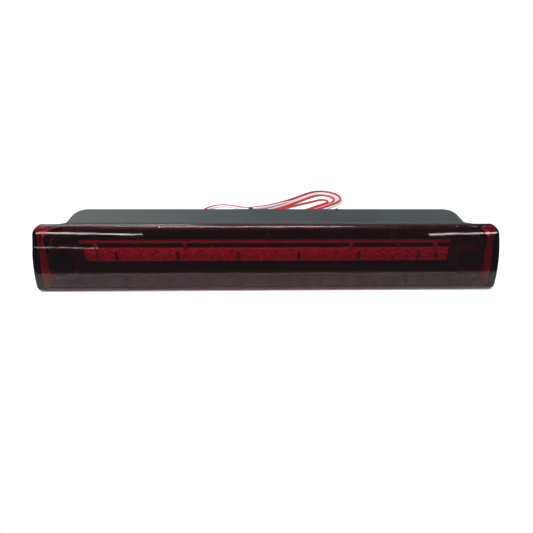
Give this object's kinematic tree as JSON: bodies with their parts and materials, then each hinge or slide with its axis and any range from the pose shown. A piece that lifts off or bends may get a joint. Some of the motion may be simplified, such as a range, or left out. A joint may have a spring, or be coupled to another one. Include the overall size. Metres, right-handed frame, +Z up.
{
  "type": "third brake light",
  "caption": "High-mounted LED stop lamp: wraparound red lens cap over a stadium-shaped black tub that drops into a panel cut-out, with rear studs and two bare leads.",
  "frame": {"origin": "under the middle of the lamp's width and depth, on the surface that its lower edge stands on", "axes": "+X to the lamp's right seen from behind the vehicle, +Y towards the back of the lamp and the studs, +Z up"},
  "size_m": [0.33, 0.198, 0.045],
  "materials": {
    "lens_red": "polished clear dark red",
    "tub_black": "fine moulded grain",
    "sealant_black": "satin",
    "foam_black": "matt closed-cell foam",
    "carrier_white": "satin",
    "board_white": "white solder mask",
    "led_epoxy": "clear",
    "chip_black": "satin",
    "solder": "bright",
    "zinc_steel": "zinc plated",
    "spring_steel": "plain",
    "rubber_black": "matt",
    "nylon_black": "satin",
    "pvc_red": "satin",
    "pvc_white": "satin",
    "tinned_copper": "tinned strands"
  },
  "bodies": {
    "root": {"lens": "lens_red", "housing": "tub_black", "lens_sealant": "sealant_black", "mounting_gasket": "foam_black", "board_carrier": "carrier_white", "circuit_board": "board_white", "leds": "led_epoxy", "resistors": "chip_black", "diode": "chip_black", "solder_joints": "solder", "inner_red_lead": "pvc_red", "inner_white_lead": "pvc_white", "carrier_screws": "zinc_steel", "mounting_studs": "zinc_steel", "stud_o_rings": "rubber_black", "flat_washers": "zinc_steel", "spring_washers": "spring_steel", "stud_nuts": "zinc_steel", "breather_plug": "nylon_black", "wire_grommet": "rubber_black", "red_wire": "pvc_red", "white_wire": "pvc_white", "wire_hank": "pvc_red", "hank_ties": "nylon_black", "wire_tips": "tinned_copper"}
  },
  "joints": []
}
